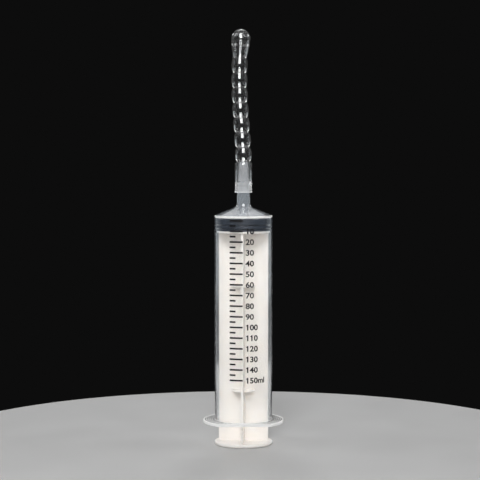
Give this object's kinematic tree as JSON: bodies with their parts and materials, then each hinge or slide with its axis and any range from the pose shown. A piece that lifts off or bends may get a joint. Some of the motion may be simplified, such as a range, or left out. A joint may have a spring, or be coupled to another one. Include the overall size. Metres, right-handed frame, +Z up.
{
  "type": "enema syringe",
  "caption": "Large clear piston syringe with a ribbed plunger, rubber gasket, finger flange, printed volume scale and a push-on beaded tube with an outlet bulb.",
  "frame": {"origin": "centre of the lower face of the thumb rest, on which the syringe stands", "axes": "+Z up along the barrel towards the bulb, -Y towards the front with the printed scale, +X to the viewer's right"},
  "size_m": [0.0606, 0.0442, 0.3099],
  "materials": {
    "white_plastic": "moulded satin white polypropylene",
    "black_rubber": "satin moulded rubber",
    "clear_plastic": "clear moulded polypropylene, slightly milky",
    "black_ink": "screen printed ink",
    "clear_soft_plastic": "clear glossy soft elastomer"
  },
  "bodies": {
    "plunger": {"plunger_rod": "white_plastic"},
    "gasket": {"piston_gasket": "black_rubber"},
    "barrel": {"barrel": "clear_plastic", "graduation_marks": "black_ink"},
    "tube": {"beaded_tube": "clear_soft_plastic"}
  },
  "joints": [
    {"name": "plunger_turn", "type": "hinge", "parent": "plunger", "child": "gasket", "pos_m": [0, 0, 0.1654], "axis": [0, 0, 1], "continuous": true},
    {"name": "barrel_slide", "type": "slide", "parent": "gasket", "child": "barrel", "axis": [0, 0, 1], "range_m": [0, 0.14]},
    {"name": "tube_pull_off", "type": "slide", "parent": "barrel", "child": "tube", "axis": [0, 0, 1], "range_m": [0, 0.03]}
  ]
}
